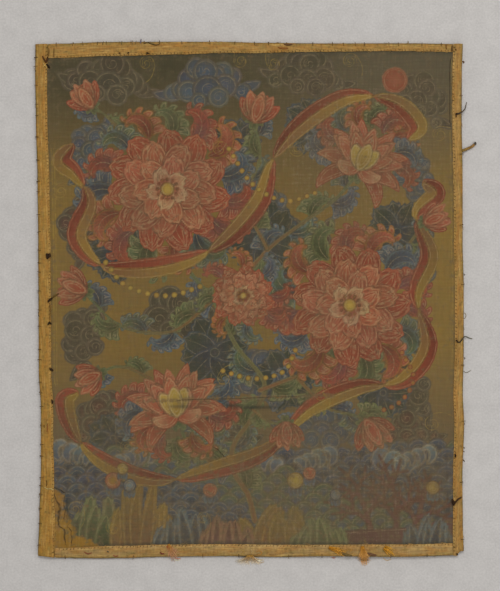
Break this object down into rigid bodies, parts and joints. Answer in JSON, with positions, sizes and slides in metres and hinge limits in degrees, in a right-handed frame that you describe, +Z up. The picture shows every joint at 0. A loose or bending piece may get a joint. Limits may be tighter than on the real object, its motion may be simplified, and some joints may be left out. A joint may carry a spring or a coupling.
{
  "type": "unmounted painted cloth scroll panel with a sewn tape binding",
  "caption": "Flat painted cotton scroll panel, bound all round with a narrow folded silk tape, with loose silk tufts and thread ends left from its former mount.",
  "frame": {"origin": "middle of the cloth's underside, on the surface that the panel lies on", "axes": "+Z up from the surface through the painted side, +Y towards the top of the picture, +X towards its right side"},
  "size_m": [0.3725, 0.4428, 0.0066],
  "materials": {
    "painted_cotton": "matte distemper paint on woven cotton, worn and darkened",
    "silk_tape": "plain-woven ochre silk with a low sheen, faded along its edges",
    "orange_silk": "loose orange silk floss with a soft sheen",
    "yellow_yarn": "twisted ochre yarn with a dark end",
    "dark_thread": "dark brown twisted thread"
  },
  "bodies": {
    "root": {"painted_cloth": "painted_cotton", "binding_left": "silk_tape", "binding_right": "silk_tape", "binding_top": "silk_tape", "binding_bottom": "silk_tape", "tuft_bottom_1": "orange_silk", "tuft_bottom_2": "orange_silk", "tuft_bottom_3": "orange_silk", "tuft_bottom_4": "orange_silk", "tuft_bottom_5": "orange_silk", "thread_yellow_end": "yellow_yarn", "thread_dark_upper": "dark_thread", "thread_dark_hook": "dark_thread"}
  },
  "joints": []
}
